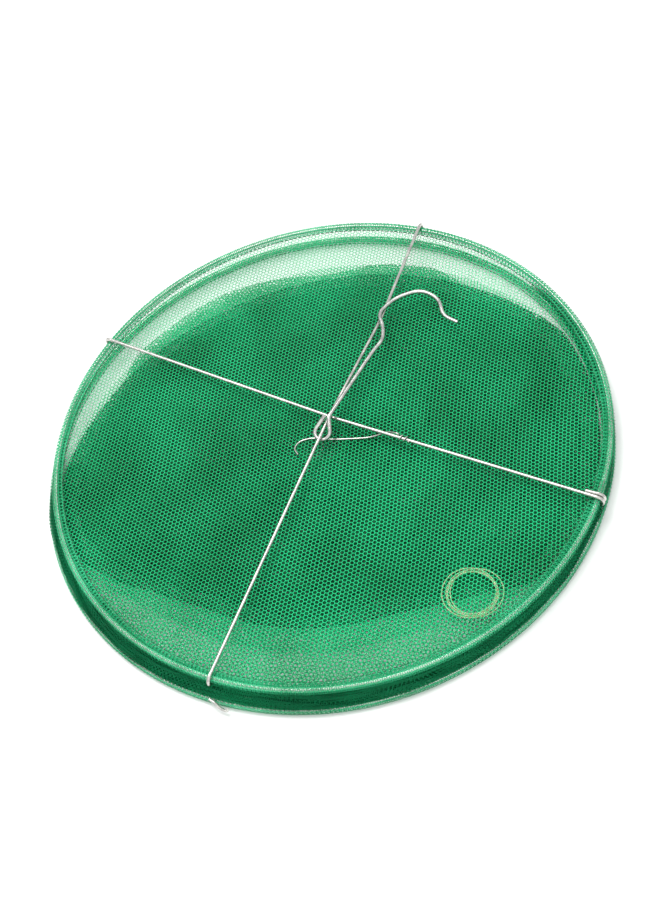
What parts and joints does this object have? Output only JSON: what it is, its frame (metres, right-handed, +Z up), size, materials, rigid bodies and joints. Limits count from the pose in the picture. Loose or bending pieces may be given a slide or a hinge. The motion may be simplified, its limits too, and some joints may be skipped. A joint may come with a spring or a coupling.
{
  "type": "folding net trap",
  "caption": "Round folding net trap, collapsed flat: sprung wire hoops, net wall, top and inner funnel, crossed top wires and a swinging hanger hook.",
  "frame": {"origin": "on the floor under the middle of the bottom hoop, with the trap folded flat", "axes": "+Z up out of the top net, +Y along cross wire A towards the hanger hook's bight, +X along cross wire B towards its doubled end"},
  "size_m": [0.3416, 0.3465, 0.0247],
  "materials": {
    "net_green": "knitted hexagonal mesh of glossy green monofilament",
    "thread_green": "green sewing thread",
    "wire_steel": "bright galvanised wire",
    "nylon_clear": "clear nylon monofilament"
  },
  "bodies": {
    "bottom_frame": {"bottom_hoop": "wire_steel", "bottom_ferrule": "wire_steel", "bottom_sleeve": "net_green", "bottom_stitching": "thread_green", "bottom_rim_curl": "wire_steel", "wall_net": "net_green", "wall_seam_binding": "net_green", "funnel_net": "net_green", "funnel_seam_binding": "net_green", "nylon_line_coil": "nylon_clear"},
    "top_frame": {"top_hoop": "wire_steel", "top_ferrule": "wire_steel", "top_sleeve": "net_green", "top_stitching": "thread_green", "top_net": "net_green", "cross_wire_a": "wire_steel", "cross_wire_b": "wire_steel", "tie_wire": "wire_steel"},
    "throat": {"throat_hem": "net_green"},
    "hook": {"hanger_hook": "wire_steel"}
  },
  "joints": [
    {"name": "unfold", "type": "slide", "parent": "bottom_frame", "child": "top_frame", "axis": [0, 0, 1], "range_m": [0, 0.36], "deforming": ["wall_net", "wall_seam_binding"]},
    {"name": "funnel_lift", "type": "slide", "parent": "bottom_frame", "child": "throat", "axis": [0, 0, 1], "range_m": [0, 0.24], "deforming": ["funnel_net", "funnel_seam_binding"]},
    {"name": "hook_swing", "type": "hinge", "parent": "top_frame", "child": "hook", "pos_m": [0.00215, 0.002, 0.02022], "axis": [1, 0, 0], "range_deg": [0, 120]}
  ],
  "couplings": [
    {"joint": "funnel_lift", "follows": "unfold", "ratio": 0.6666}
  ]
}
